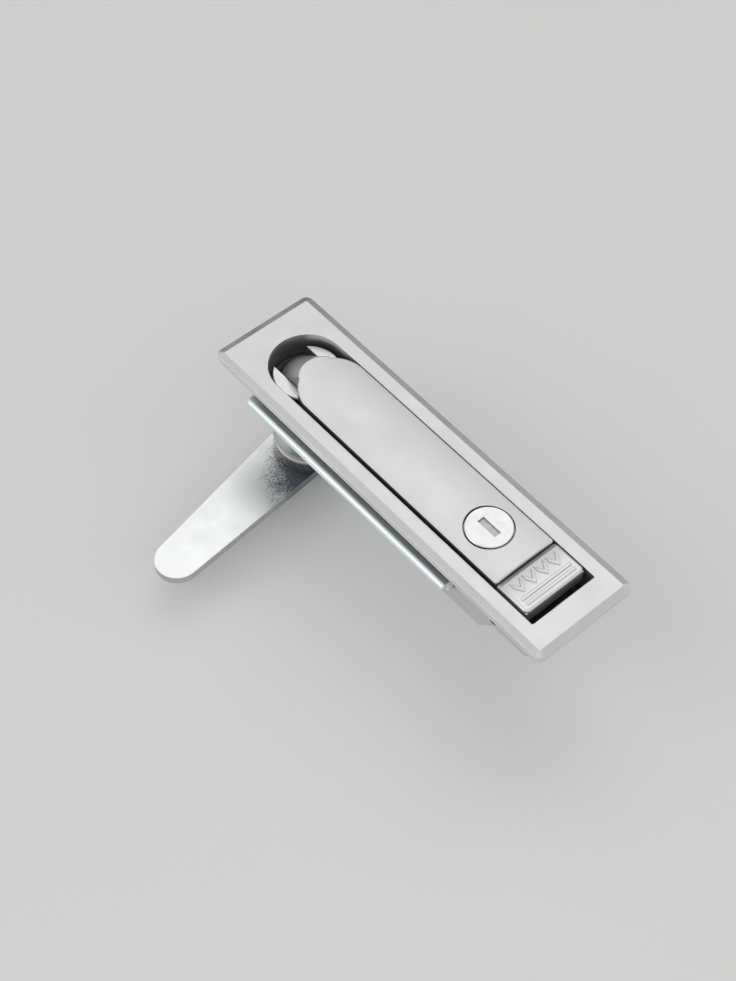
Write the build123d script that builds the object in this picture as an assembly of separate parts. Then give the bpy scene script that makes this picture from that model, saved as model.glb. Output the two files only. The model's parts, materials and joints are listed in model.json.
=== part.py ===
from build123d import *
import math
import os

os.makedirs("parts", exist_ok=True)

# Swing handle lock. Millimetres, +Z out of the front face, +Y towards the handle's hinge end.
# The origin is the centre of the flange's back, which seats on the door sheet.

# --- flange (bezel) ---------------------------------------------------------------------
FLANGE_LENGTH = 150.0
FLANGE_WIDTH = 38.5
FLANGE_THICK = 3.2
FLANGE_CORNER = 2.6
BEVEL_RUN = 2.25
BEVEL_DROP = 0.75
FACE = FLANGE_THICK

# --- recess for handle and button -------------------------------------------------------
RECESS_HALF = 12.65
RECESS_NEAR = -65.2
RECESS_CORNER = 0.5
PIVOT_Y = 51.6
FLOOR = -6.2

# --- housing body behind the flange -----------------------------------------------------
BODY_HALF = 16.0
BODY_NEAR = -67.8
BODY_CORNER = 2.0
TRAY_BACK = -8.2
TOWER_BACK = -10.0
TOWER_FROM = 34.5
POCKET_BACK = -15.9
POCKET_FLOOR = -14.1
POCKET_FAR = -20.0
POCKET_NEAR = -47.5
RAMP_NEAR = -52.9
NEAR_BACK = -9.6
NEAR_FLOOR = -8.5
CASTING_WALL = 2.0
CASTING_ROUND = 0.8
NECK_TOP_R = 12.9
NECK_END_R = 12.4
NECK_END = -30.3

# --- rotor, spindle and locking arm -----------------------------------------------------
HEAD_R = 11.3
HEAD_BORE_R = 11.5
HEAD_TOP = -0.7
HEAD_BACK = -10.4
HEAD_SLOT = 13.4
HEAD_SLOT_FLOOR = -8.8
HINGE_Z = -3.5
HINGE_PIN_R = 2.0
COLLAR_R = 9.6
COLLAR_BORE_R = 9.8
COLLAR_THICK = 3.0
COLLAR_SEAT = -13.6
STOP_R = 10.8
STOP_WIDTH = 4.0
SHAFT_R = 7.0
SHAFT_BORE_R = 7.06
SQUARE = 10.0
STUD_R = 4.0
ARM_TOP = -35.1
ARM_THICK = 3.0
ARM_ROOT_R = 11.4
ARM_TIP_R = 7.6
ARM_REACH = 64.0
ARM_SKEW = 9.0
ARM_TURN = 90.0
STOP_PLAY = 1.5
SEAL_Z = -20.0
SEAL_WIRE_R = 0.85
RING_TOP = NECK_END - 0.05
RING_GROOVE_R = 10.9
RING_WAIST_R = 11.5
RING_WAIST_TOP = RING_TOP - 0.8
RING_LIP_R = 11.75
RING_LIP_TOP = ARM_TOP + 1.5
RING_ROUND = 0.35
ARM_WASHER_R = 9.0
ARM_WASHER_THICK = 1.6
LOCK_WASHER_THICK = 2.0
NUT_ACROSS = 13.0
NUT_THICK = 6.5
NUT_TOP = ARM_TOP - ARM_THICK - ARM_WASHER_THICK - LOCK_WASHER_THICK
STUD_END = NUT_TOP - NUT_THICK - 1.5

# --- handle -----------------------------------------------------------------------------
HANDLE_NEAR = -48.9
HANDLE_HALF = 11.8
HANDLE_EDGE = FACE + 1.4
HANDLE_CROWN = FACE + 2.2
HANDLE_BACK = -5.4
HANDLE_BACK_HALF = 10.4
HANDLE_CORNER = 1.2
HANDLE_ROUND = 0.45
HANDLE_SKIN = 3.6
HOLLOW_FAR = 31.2
RIB_MIDDLE = 8.0
RIB_SPREAD = 5.0
RIB_HALF = 0.8
HANDLE_WALL = 3.1
SHOULDER_Y = 38.0
NOSE_HALF = 6.6
NOSE_TIP = 51.6
NOSE_R = 8.3
TONGUE_HALF = 6.5
TONGUE_ROOT = 34.0
TONGUE_TOP = HANDLE_CROWN - 0.7
CHIN_R = 8.45
CHIN_Z = -2.4
CHIN_LIP = 0.9
SHOULDER_GAP = 1.2
KNUCKLE_R = 4.0
CATCH_HALF = 5.5

# --- lock cylinder ----------------------------------------------------------------------
CYL_Y = -33.1
CYL_FACE = FACE + 2.3
PLUG_HEAD_R = 7.5
PLUG_HEAD_THICK = 1.6
PLUG_R = 5.5
BARREL_R = 7.25
BARREL_RIM_R = 7.9
BARREL_BORE_R = 5.55
BARREL_TOP = CYL_FACE - PLUG_HEAD_THICK - 0.1
BARREL_STEP = 0.5
BARREL_END = -9.5
KEYWAY_LENGTH = 7.6
KEYWAY_WIDTH = 2.6
KEYWAY_END = -6.0
TAIL_THICK = 2.0
TAIL_REACH = 10.8
TAIL_SQUARE = 6.0
TAIL_SCREW_R = 1.5
CLIP_THICK = 0.8
CLIP_Z = HANDLE_BACK - CLIP_THICK - 0.1
CLIP_BORE_R = 6.5
WAFERS = 4
WAFER_LOW = -4.6
WAFER_PITCH = 1.9
WAFER_THICK = 1.1
SHUTTER_LOW = CYL_FACE - 1.3
SHUTTER_TOP = CYL_FACE - 0.7
SHUTTER_HALF_X = 2.1
SHUTTER_HALF_Y = 4.6

# --- push button ------------------------------------------------------------------------
BUTTON_INNER = -49.4
BUTTON_OUTER = -61.9
BUTTON_TOP = FACE + 1.3
BUTTON_HALF = 11.8
BUTTON_PIN_Y = -52.9
BUTTON_PIN_Z = -6.2
BUTTON_PIN_R = 1.1
BUTTON_PIN_SUNK = 1.0
PIN_MOUTH_R = 1.6
BUTTON_HUB_R = 2.0
PAD_THICK = 2.5
PAD_BACK = BUTTON_TOP - PAD_THICK
PAD_INNER = BUTTON_INNER + 0.2
PAD_CORNER = 1.8
PAD_ROUND = 0.9
PAD_SLOPE = 1.3
PAD_SLOPE_FALL = 0.6
BAR_HALF = 9.9
BAR_WIDTH = 1.0
BAR_RISE = 0.45
BAR_ROUND = 0.25
SPRING_Y = -57.3
SPRING_MEAN_R = 1.9
SPRING_WIRE_R = 0.3

# --- clamping bracket -------------------------------------------------------------------
GRIP = 3.0
SHEET = 2.0
BRACKET_FAR = 58.0
BRACKET_NEAR = -36.0
BRACKET_HALF = 21.2
BRIM_CORNER = 2.3
BRIM_ROUND = 1.5
BRACKET_INNER = BODY_HALF + 0.2
WEB_FROM = -18.0
WEB_TO = 33.0
SCREW_YS = (-8.0, 24.0)
SCREW_R = 2.45
SCREW_HEAD_R = 4.25
SCREW_HEAD_THICK = 3.0
BOSS_R = 4.5
BOSS_TOP = -1.0
WASHER_THICK = 1.2


def slab(points, width):
    """Solid with a straight-sided outline in the Y-Z plane, centred on X."""
    outline = Plane.YZ * make_face(Polyline(*points, close=True))
    return extrude(outline, amount=width / 2, both=True)


def disc(radius, bottom, top, x=0.0, y=0.0):
    """Upright cylinder between two heights."""
    rod = Cylinder(radius, top - bottom, align=(Align.CENTER, Align.CENTER, Align.MIN))
    return Pos(x, y, bottom) * rod


def block(x0, x1, y0, y1, z0, z1):
    """Box between two corners."""
    return Pos((x0 + x1) / 2, (y0 + y1) / 2, (z0 + z1) / 2) * Box(x1 - x0, y1 - y0, z1 - z0)


def cross_rod(radius, half_length, y, z):
    """Cylinder lying along X, centred on X."""
    return Pos(0, y, z) * Rot(0, 90, 0) * Cylinder(radius, 2 * half_length)


def long_slot(half, near, corner):
    """Plan outline with a square end at the button and a round end about the spindle."""
    straight = Pos(0, (PIVOT_Y + near) / 2) * Rectangle(2 * half, PIVOT_Y - near)
    straight = fillet(straight.vertices().group_by(Axis.Y)[0], corner)
    return straight + Pos(0, PIVOT_Y) * Circle(half)


def flange():
    """Rectangular front plate with a broad shallow bevel all round."""
    rim_z = FLANGE_THICK - BEVEL_DROP
    outer = RectangleRounded(FLANGE_WIDTH, FLANGE_LENGTH, FLANGE_CORNER)
    inner = RectangleRounded(
        FLANGE_WIDTH - 2 * BEVEL_RUN, FLANGE_LENGTH - 2 * BEVEL_RUN, FLANGE_CORNER - BEVEL_RUN
    )
    bevel = loft([Pos(0, 0, rim_z) * outer, Pos(0, 0, FLANGE_THICK) * inner])
    return extrude(outer, rim_z) + bevel


def body_block():
    """Outside of the body: shallow tray, deep cylinder pocket, ramp and round hinge tower."""
    far = PIVOT_Y + BODY_HALF
    back = slab(
        [
            (far, 0),
            (far, TOWER_BACK),
            (TOWER_FROM, TOWER_BACK),
            (TOWER_FROM, TRAY_BACK),
            (POCKET_FAR, TRAY_BACK),
            (POCKET_FAR - 0.5, POCKET_BACK),
            (POCKET_NEAR, POCKET_BACK),
            (RAMP_NEAR, NEAR_BACK),
            (BODY_NEAR, NEAR_BACK),
            (BODY_NEAR, 0),
        ],
        2 * BODY_HALF,
    )
    plan = extrude(long_slot(BODY_HALF, BODY_NEAR, BODY_CORNER), 2 * POCKET_BACK, dir=(0, 0, 1))
    solid = back & plan
    low = [e for e in solid.edges() if e.bounding_box().max.Z < TRAY_BACK + 0.1]
    return fillet(low, CASTING_ROUND)


def cavity():
    """Room inside the body for the handle, the lock cylinder and the button."""
    top = FACE + 1.0
    far = PIVOT_Y + RECESS_HALF
    wall_y = POCKET_FAR - CASTING_WALL
    ramp_run = POCKET_NEAR - RAMP_NEAR
    room = slab(
        [
            (far, top),
            (far, FLOOR),
            (wall_y, FLOOR),
            (wall_y - 0.5, POCKET_FLOOR),
            (RAMP_NEAR + ramp_run + 0.9, POCKET_FLOOR),
            (RAMP_NEAR + 1.0, NEAR_FLOOR),
            (RECESS_NEAR, NEAR_FLOOR),
            (RECESS_NEAR, top),
        ],
        2 * RECESS_HALF,
    )
    outline = Pos(0, 0, top) * long_slot(RECESS_HALF, RECESS_NEAR, RECESS_CORNER)
    return room & extrude(outline, top - POCKET_FLOOR, dir=(0, 0, -1))


def neck():
    """Slightly tapered bearing neck that carries the spindle."""
    height = TOWER_BACK - NECK_END
    cone = Cone(NECK_END_R, NECK_TOP_R, height, align=(Align.CENTER, Align.CENTER, Align.MIN))
    return Pos(0, PIVOT_Y, NECK_END) * cone


def stop_channel():
    """Arc in the collar bore that lets the spindle's stop lug swing through its turn."""
    lug_angle = math.degrees(STOP_WIDTH / STOP_R)
    span = ARM_TURN + lug_angle + 2 * STOP_PLAY
    start = -lug_angle / 2 - STOP_PLAY
    ring = disc(STOP_R + 0.2, COLLAR_SEAT, HEAD_BACK, 0, PIVOT_Y)
    wedge = Pos(0, PIVOT_Y, COLLAR_SEAT) * Cylinder(
        STOP_R + 2, HEAD_BACK - COLLAR_SEAT, arc_size=span, rotation=(0, 0, start),
        align=(Align.NONE, Align.NONE, Align.MIN),
    )
    return ring & wedge


def housing():
    """Die-cast flange and body in one piece."""
    solid = flange() + body_block() + neck()
    solid -= cavity()
    solid -= disc(HEAD_BORE_R, HEAD_BACK, FLOOR, 0, PIVOT_Y)
    solid -= disc(COLLAR_BORE_R, COLLAR_SEAT, HEAD_BACK, 0, PIVOT_Y)
    solid -= disc(SHAFT_BORE_R, NECK_END, COLLAR_SEAT, 0, PIVOT_Y)
    solid -= stop_channel()
    for y in SCREW_YS:
        solid += disc(BOSS_R, FLOOR, BOSS_TOP, 0, y)
        solid -= disc(SCREW_R + 0.05, TRAY_BACK, BOSS_TOP - 1.0, 0, y)
    solid += disc(SPRING_MEAN_R - SPRING_WIRE_R - 0.2, NEAR_FLOOR, NEAR_FLOOR + 1.0, 0, SPRING_Y)
    solid -= cross_rod(BUTTON_PIN_R, BODY_HALF + 1, BUTTON_PIN_Y, BUTTON_PIN_Z)
    mouths = cross_rod(PIN_MOUTH_R, BODY_HALF + 1, BUTTON_PIN_Y, BUTTON_PIN_Z)
    mouths -= cross_rod(PIN_MOUTH_R + 1, BODY_HALF - BUTTON_PIN_SUNK, BUTTON_PIN_Y, BUTTON_PIN_Z)
    return solid - mouths


# --- handle -----------------------------------------------------------------------------


def handle_plan():
    """Plan outline of the handle: straight sides, round shoulders, and a smaller round nose."""
    side = HANDLE_HALF
    shoulder_end = SHOULDER_Y + math.sqrt(side * side - NOSE_HALF * NOSE_HALF)
    nose_start = NOSE_TIP - NOSE_R + math.sqrt(NOSE_R * NOSE_R - TONGUE_HALF * TONGUE_HALF)
    halfway = math.radians(28)
    bulge = (side * math.cos(halfway), SHOULDER_Y + side * math.sin(halfway))
    right = Line((side, HANDLE_NEAR), (side, SHOULDER_Y))
    shoulder = ThreePointArc((side, SHOULDER_Y), bulge, (NOSE_HALF, shoulder_end))
    step = Line((NOSE_HALF, shoulder_end), (TONGUE_HALF, nose_start))
    nose = ThreePointArc((TONGUE_HALF, nose_start), (0, NOSE_TIP), (-TONGUE_HALF, nose_start))
    half = [right, shoulder, step]
    left = [edge.mirror(Plane.YZ) for edge in half]
    end = Line((-side, HANDLE_NEAR), (side, HANDLE_NEAR))
    face = make_face(Curve() + half + [nose] + left + [end])
    return fillet(face.vertices().group_by(Axis.Y)[0], HANDLE_CORNER)


def handle_section():
    """Cross-section: crowned top, sides leaning in towards the back."""
    top = ThreePointArc((-HANDLE_HALF, HANDLE_EDGE), (0, HANDLE_CROWN), (HANDLE_HALF, HANDLE_EDGE))
    rest = Polyline(
        (HANDLE_HALF, HANDLE_EDGE),
        (HANDLE_BACK_HALF, HANDLE_BACK),
        (-HANDLE_BACK_HALF, HANDLE_BACK),
        (-HANDLE_HALF, HANDLE_EDGE),
    )
    return make_face(Curve() + [top, rest])


def tongue():
    """Hinge tongue: sloping chin under the nose and a knuckle about the hinge pin."""
    chin_y = PIVOT_Y + CHIN_R
    knuckle_low = HINGE_Z - 2.4
    profile = slab(
        [
            (TONGUE_ROOT, 2.0),
            (TONGUE_ROOT, HANDLE_BACK),
            (PIVOT_Y - 6.5, HANDLE_BACK),
            (PIVOT_Y - 3.4, knuckle_low),
            (PIVOT_Y + 3.4, knuckle_low),
            (chin_y, CHIN_Z - CHIN_LIP),
            (chin_y, CHIN_Z),
            (NOSE_TIP, TONGUE_TOP),
            (SHOULDER_Y, TONGUE_TOP),
        ],
        2 * TONGUE_HALF,
    )
    profile += cross_rod(KNUCKLE_R, TONGUE_HALF, PIVOT_Y, HINGE_Z)
    chin = loft(
        [
            Pos(0, NOSE_TIP - NOSE_R, TONGUE_TOP) * Circle(NOSE_R),
            Pos(0, PIVOT_Y, CHIN_Z) * Circle(CHIN_R),
        ]
    )
    below = disc(CHIN_R, HINGE_Z - KNUCKLE_R, CHIN_Z, 0, PIVOT_Y)
    root = block(-10, 10, TONGUE_ROOT - 1, SHOULDER_Y + 8, HINGE_Z - KNUCKLE_R - 1, TONGUE_TOP)
    return profile & (chin + below + root)


def handle():
    """Die-cast handle bar: crowned skin, hollow back with ribs, cylinder boss, catch and tongue."""
    length = NOSE_TIP - HANDLE_NEAR
    bar = extrude(Plane.XZ.offset(-NOSE_TIP) * handle_section(), length)
    bar = bar & extrude(Pos(0, 0, HANDLE_BACK - 1) * handle_plan(), HANDLE_CROWN - HANDLE_BACK + 2)
    skin = bar.faces().sort_by(Axis.Z)[-1]
    bar = fillet(skin.edges(), HANDLE_ROUND)
    bar -= disc(HEAD_R + SHOULDER_GAP, HANDLE_BACK - 1, HEAD_TOP + 0.4, 0, PIVOT_Y)
    hollow_half = HANDLE_BACK_HALF - HANDLE_WALL
    hollow_top = HANDLE_CROWN - HANDLE_SKIN
    hollow_near = CYL_Y + BARREL_RIM_R + 4.5
    bar -= block(-hollow_half, hollow_half, hollow_near, HOLLOW_FAR, HANDLE_BACK - 1, hollow_top)
    rib_low = HANDLE_BACK + 2.5
    rib_near, rib_far = RIB_MIDDLE - RIB_SPREAD, RIB_MIDDLE + RIB_SPREAD
    for y in (rib_near, rib_far):
        bar += block(-hollow_half, hollow_half, y - RIB_HALF, y + RIB_HALF, rib_low, hollow_top)
    for x in (-3.5, 3.5):
        bar += block(x - RIB_HALF, x + RIB_HALF, rib_near, rib_far, rib_low, hollow_top)
    bar += tongue()
    bar -= block(-3.1, 3.1, PIVOT_Y - 4.6, PIVOT_Y + 4.4, HINGE_Z - 4.5, HINGE_Z + 3.8)
    bar -= cross_rod(HINGE_PIN_R + 0.05, TONGUE_HALF + 1, PIVOT_Y, HINGE_Z)
    bar -= disc(BARREL_RIM_R + 0.05, BARREL_STEP, HANDLE_CROWN + 1, 0, CYL_Y)
    bar -= disc(BARREL_R + 0.05, HANDLE_BACK - 1, BARREL_STEP, 0, CYL_Y)
    bar += slab(
        [
            (HANDLE_NEAR + 0.5, -4.6),
            (HANDLE_NEAR - 1.0, -4.6),
            (HANDLE_NEAR - 1.5, -4.0),
            (HANDLE_NEAR - 1.5, -2.6),
            (HANDLE_NEAR - 0.6, -2.0),
            (HANDLE_NEAR + 0.5, -2.0),
        ],
        2 * CATCH_HALF,
    )
    return bar


# --- rotor and spindle ------------------------------------------------------------------


def rotor_head():
    """Forked head: two crescent cheeks either side of the handle's tongue."""
    solid = disc(HEAD_R, HEAD_BACK, HEAD_TOP, 0, PIVOT_Y)
    solid = chamfer(solid.edges().group_by(Axis.Z)[-1], 0.3)
    slot_half = HEAD_SLOT / 2
    solid -= block(-slot_half, slot_half, PIVOT_Y - 15, PIVOT_Y + 15, HEAD_SLOT_FLOOR, HEAD_TOP + 1)
    solid -= cross_rod(HINGE_PIN_R, HEAD_R + 1, PIVOT_Y, HINGE_Z)
    return solid


def hinge_pin():
    """Cross pin that the handle folds on."""
    return chamfer(cross_rod(HINGE_PIN_R, 10.4, PIVOT_Y, HINGE_Z).edges().filter_by(GeomType.CIRCLE), 0.3)


def spindle():
    """Turning shaft: collar with stop lug, bearing shaft with seal groove, square and stud."""
    solid = disc(COLLAR_R, COLLAR_SEAT, COLLAR_SEAT + COLLAR_THICK)
    lug = block(0, STOP_R, -STOP_WIDTH / 2, STOP_WIDTH / 2, COLLAR_SEAT, COLLAR_SEAT + COLLAR_THICK)
    solid += lug & disc(STOP_R, COLLAR_SEAT, COLLAR_SEAT + COLLAR_THICK)
    solid += disc(SHAFT_R, ARM_TOP, COLLAR_SEAT)
    square_end = ARM_TOP - ARM_THICK + 0.2
    solid += Pos(0, 0, square_end) * Box(
        SQUARE, SQUARE, ARM_TOP - square_end, align=(Align.CENTER, Align.CENTER, Align.MIN)
    )
    stud = disc(STUD_R, STUD_END, square_end)
    solid += chamfer(stud.edges().group_by(Axis.Z)[0], 0.6)
    groove_low, groove_high = SEAL_Z - 1.1, SEAL_Z + 1.1
    groove = disc(SHAFT_R + 1, groove_low, groove_high) - disc(SHAFT_R - 1.75, groove_low, groove_high)
    return turned(solid - groove)


def turned(solid):
    """Place a spindle-side piece on the spindle axis, at the arm's skew angle."""
    return Pos(0, PIVOT_Y, 0) * Rot(0, 0, ARM_SKEW) * solid


def seal_ring():
    """Rubber ring in the spindle's groove."""
    return turned(Pos(0, 0, SEAL_Z) * Torus(SHAFT_BORE_R - SEAL_WIRE_R - 0.03, SEAL_WIRE_R))


def neck_ring():
    """Bearing ring between the neck and the arm: groove under the neck, waist and rounded lip."""
    lip = disc(RING_LIP_R, ARM_TOP, RING_LIP_TOP)
    lip = fillet(lip.edges().filter_by(GeomType.CIRCLE), RING_ROUND)
    waist = disc(RING_WAIST_R, RING_LIP_TOP - 1.0, RING_WAIST_TOP)
    waist = fillet(waist.edges().group_by(Axis.Z)[-1], RING_ROUND)
    ring = lip + waist + disc(RING_GROOVE_R, RING_LIP_TOP, RING_TOP)
    return turned(ring - disc(SHAFT_R + 0.1, ARM_TOP, RING_TOP))


def cam_arm():
    """Flat tapered locking arm with a square hole."""
    root = Circle(ARM_ROOT_R)
    tip = Pos(-ARM_REACH, 0) * Circle(ARM_TIP_R)
    lean = (ARM_ROOT_R - ARM_TIP_R) / ARM_REACH
    rise = math.sqrt(1 - lean * lean)
    corners = []
    for x, r in ((0.0, ARM_ROOT_R), (-ARM_REACH, ARM_TIP_R)):
        corners.append((x - r * lean, r * rise))
    (x0, y0), (x1, y1) = corners
    taper = make_face(Polyline((x0, y0), (x1, y1), (x1, -y1), (x0, -y0), close=True))
    plan = root + tip + taper - Rectangle(SQUARE + 0.1, SQUARE + 0.1)
    plate = extrude(Pos(0, 0, ARM_TOP - ARM_THICK) * plan, ARM_THICK)
    return turned(plate)


def plain_washer():
    """Flat washer under the arm."""
    top = ARM_TOP - ARM_THICK
    low = top - ARM_WASHER_THICK
    return turned(disc(ARM_WASHER_R, low, top) - disc(STUD_R + 0.2, low, top))


def split_ring(outer, inner, bottom, top):
    """Spring lock washer with its cut."""
    ring = disc(outer, bottom, top) - disc(inner, bottom, top)
    return ring - Rot(0, 0, 20) * block(inner - 1, outer + 1, -0.5, 0.5, bottom, top)


def spring_washer():
    """Split washer under the nut."""
    return turned(split_ring(7.0, STUD_R + 0.1, NUT_TOP, NUT_TOP + LOCK_WASHER_THICK))


def cam_nut():
    """Hexagon nut that holds the arm on the spindle."""
    corner_r = NUT_ACROSS / math.sqrt(3)
    blank = extrude(Pos(0, 0, NUT_TOP - NUT_THICK) * RegularPolygon(corner_r, 6), NUT_THICK)
    crown = disc(corner_r, NUT_TOP - NUT_THICK, NUT_TOP)
    blank = blank & chamfer(crown.edges().filter_by(GeomType.CIRCLE), 0.9)
    return turned(blank - disc(STUD_R + 0.05, NUT_TOP - NUT_THICK, NUT_TOP))


# --- lock cylinder ----------------------------------------------------------------------


def lock_barrel():
    """Cylinder body held in the handle by its rim and a spring clip."""
    solid = disc(BARREL_RIM_R, BARREL_STEP, BARREL_TOP, 0, CYL_Y)
    solid += disc(BARREL_R, BARREL_END, BARREL_STEP, 0, CYL_Y)
    solid -= disc(BARREL_BORE_R, BARREL_END, BARREL_TOP, 0, CYL_Y)
    ring = disc(BARREL_R + 1, CLIP_Z, HANDLE_BACK, 0, CYL_Y)
    solid -= ring - disc(CLIP_BORE_R, CLIP_Z, HANDLE_BACK, 0, CYL_Y)
    for side in (-1, 1):
        y = CYL_Y + side * (PLUG_R + 0.4)
        solid -= block(-1.4, 1.4, y - 0.45, y + 0.45, WAFER_LOW - 0.4, WAFER_LOW + WAFER_PITCH * WAFERS)
    return solid


def barrel_clip():
    """U-shaped spring clip that grips the barrel's groove under the handle."""
    outer = Circle(9.3) & Rectangle(18.6, 17.0)
    plan = outer - Circle(CLIP_BORE_R + 0.02) - Pos(0, 8) * Rectangle(2 * CLIP_BORE_R - 0.8, 16)
    return Pos(0, CYL_Y, 0) * extrude(Pos(0, 0, CLIP_Z + 0.05) * plan, CLIP_THICK)


def plug():
    """Turning plug with a broad round face, keyway, wafer slots and a square tail."""
    low = BARREL_END + 0.1
    solid = disc(PLUG_HEAD_R, CYL_FACE - PLUG_HEAD_THICK, CYL_FACE)
    solid = chamfer(solid.edges().group_by(Axis.Z)[-1], 0.25)
    solid += disc(PLUG_R, low, CYL_FACE - PLUG_HEAD_THICK)
    tail_end = BARREL_END - TAIL_THICK + 0.1
    square_half = TAIL_SQUARE / 2
    solid += block(-square_half, square_half, -square_half, square_half, tail_end, low)
    half_wide, half_long = KEYWAY_WIDTH / 2, KEYWAY_LENGTH / 2
    solid -= block(-half_wide, half_wide, -half_long, half_long, KEYWAY_END, CYL_FACE + 1)
    solid -= block(
        -SHUTTER_HALF_X, SHUTTER_HALF_X, -SHUTTER_HALF_Y, SHUTTER_HALF_Y, SHUTTER_LOW, SHUTTER_TOP
    )
    for i in range(WAFERS):
        z = WAFER_LOW + i * WAFER_PITCH
        solid -= block(-2.6, 2.6, -PLUG_R - 1, PLUG_R + 1, z - 0.05, z + WAFER_THICK + 0.05)
    solid -= disc(TAIL_SCREW_R + 0.05, tail_end, tail_end + 5.0)
    return Pos(0, CYL_Y, 0) * solid


def dust_shutter():
    """Thin plate that closes the keyway just behind the face."""
    gap = 0.05
    plate = block(
        -SHUTTER_HALF_X + gap, SHUTTER_HALF_X - gap, -SHUTTER_HALF_Y + gap, SHUTTER_HALF_Y - gap,
        SHUTTER_LOW, SHUTTER_TOP,
    )
    return Pos(0, CYL_Y, 0) * plate


def wafers():
    """Stack of key wafers in the plug's slots."""
    stack = []
    for i in range(WAFERS):
        z = WAFER_LOW + i * WAFER_PITCH
        lift = 0.25 * (i % 3 - 1)
        blank = block(-2.5, 2.5, -PLUG_R + 0.3 + lift, PLUG_R - 0.3 + lift, z, z + WAFER_THICK)
        blank = blank & disc(PLUG_R, z, z + WAFER_THICK)
        window = block(-KEYWAY_WIDTH / 2, KEYWAY_WIDTH / 2, -3.9 + lift, 3.9 + lift, z, z + WAFER_THICK)
        stack.append(Pos(0, CYL_Y, 0) * (blank - window))
    return Compound(children=stack)


def tail_cam():
    """Small locking tongue on the plug's square tail."""
    top = BARREL_END
    plan = Circle(5.0) + Pos(TAIL_REACH / 2 - 1.4, 0) * Rectangle(TAIL_REACH - 2.8, 6.0)
    plan += Pos(TAIL_REACH - 3.0, 0) * Circle(3.0)
    plan -= Rectangle(TAIL_SQUARE + 0.06, TAIL_SQUARE + 0.06)
    return Pos(0, CYL_Y, 0) * extrude(Pos(0, 0, top - TAIL_THICK) * plan, TAIL_THICK)


def tail_screw():
    """Pan-head screw that holds the tail cam."""
    top = BARREL_END - TAIL_THICK
    head = fillet(disc(3.6, top - 1.8, top).edges().group_by(Axis.Z)[0], 0.6)
    return Pos(0, CYL_Y, 0) * (head + disc(TAIL_SCREW_R, top, top + 4.6))


# --- push button ------------------------------------------------------------------------


def push_button():
    """Rocking push button: pad with two grip bars, side webs, hook and tail."""
    plan = Rectangle(2 * BUTTON_HALF, PAD_INNER - BUTTON_OUTER)
    plan = fillet(plan.vertices().group_by(Axis.Y)[0], PAD_CORNER)
    plan = Pos(0, (PAD_INNER + BUTTON_OUTER) / 2, PAD_BACK) * plan
    pad = extrude(plan, PAD_THICK)
    profile = slab(
        [
            (BUTTON_OUTER - 1, PAD_BACK),
            (PAD_INNER, PAD_BACK),
            (PAD_INNER, BUTTON_TOP - PAD_SLOPE_FALL),
            (PAD_INNER - PAD_SLOPE, BUTTON_TOP),
            (BUTTON_OUTER - 1, BUTTON_TOP),
        ],
        2 * BUTTON_HALF,
    )
    pad = pad & profile
    crown = pad.edges().group_by(Axis.Z)[-1]
    pad = fillet(crown.sort_by(Axis.Y)[-1], PAD_SLOPE / 2)
    pad = fillet([e for e in pad.edges() if e.center().Z > BUTTON_TOP - 0.95 * PAD_SLOPE_FALL], PAD_ROUND)
    for y in (BUTTON_OUTER + 2.2, BUTTON_OUTER + 4.2):
        near, far = y - BAR_WIDTH / 2, y + BAR_WIDTH / 2
        bar = block(-BAR_HALF, BAR_HALF, near, far, BUTTON_TOP - 0.2, BUTTON_TOP + BAR_RISE)
        pad += fillet(bar.edges().group_by(Axis.Z)[-1], BAR_ROUND)
    skirt = slab(
        [
            (BUTTON_OUTER + 0.3, BUTTON_TOP - 1.5),
            (BUTTON_OUTER + 0.3, -1.5),
            (BUTTON_PIN_Y - 1.8, BUTTON_PIN_Z - 0.9),
            (BUTTON_PIN_Y + 1.4, BUTTON_PIN_Z - 1.4),
            (BUTTON_INNER - 1.5, BUTTON_PIN_Z + 2.5),
            (BUTTON_INNER - 0.2, BUTTON_TOP - 1.5),
        ],
        2 * BUTTON_HALF - 0.4,
    )
    skirt -= block(-8.6, 8.6, BUTTON_OUTER + 2.0, BUTTON_INNER - 2.6, BUTTON_PIN_Z - 4, PAD_BACK)
    hook = slab(
        [
            (BUTTON_INNER - 1.5, PAD_BACK),
            (BUTTON_INNER - 1.5, -1.6),
            (BUTTON_INNER - 1.25, -1.6),
            (BUTTON_INNER - 0.2, 0.4),
            (BUTTON_INNER - 0.2, PAD_BACK),
        ],
        10.0,
    )
    tail = slab(
        [
            (BUTTON_PIN_Y, BUTTON_PIN_Z + 1.9),
            (BUTTON_PIN_Y - 0.6, BUTTON_PIN_Z - 1.8),
            (BUTTON_PIN_Y + 1.4, BUTTON_PIN_Z - 1.4),
            (BUTTON_PIN_Y + 7.3, BUTTON_PIN_Z - 5.8),
            (BUTTON_PIN_Y + 7.3, BUTTON_PIN_Z - 3.4),
            (BUTTON_PIN_Y + 2.6, BUTTON_PIN_Z + 0.6),
        ],
        8.0,
    )
    hub = cross_rod(BUTTON_HUB_R, BUTTON_HALF - 0.2, BUTTON_PIN_Y, BUTTON_PIN_Z)
    solid = pad + skirt + hub + tail + hook
    return solid - cross_rod(BUTTON_PIN_R + 0.05, BUTTON_HALF + 1, BUTTON_PIN_Y, BUTTON_PIN_Z)


def button_pin():
    """Cross pin that the button rocks on."""
    return cross_rod(BUTTON_PIN_R, BODY_HALF - BUTTON_PIN_SUNK, BUTTON_PIN_Y, BUTTON_PIN_Z)


def coil(wire_r, mean_r, turns, pitch):
    """Round-wire helix standing on Z, starting at the origin height."""
    path = Helix(pitch, turns * pitch, mean_r)
    section = Plane(origin=path @ 0, z_dir=path % 0) * Circle(wire_r)
    return sweep(section, path=path)


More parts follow.
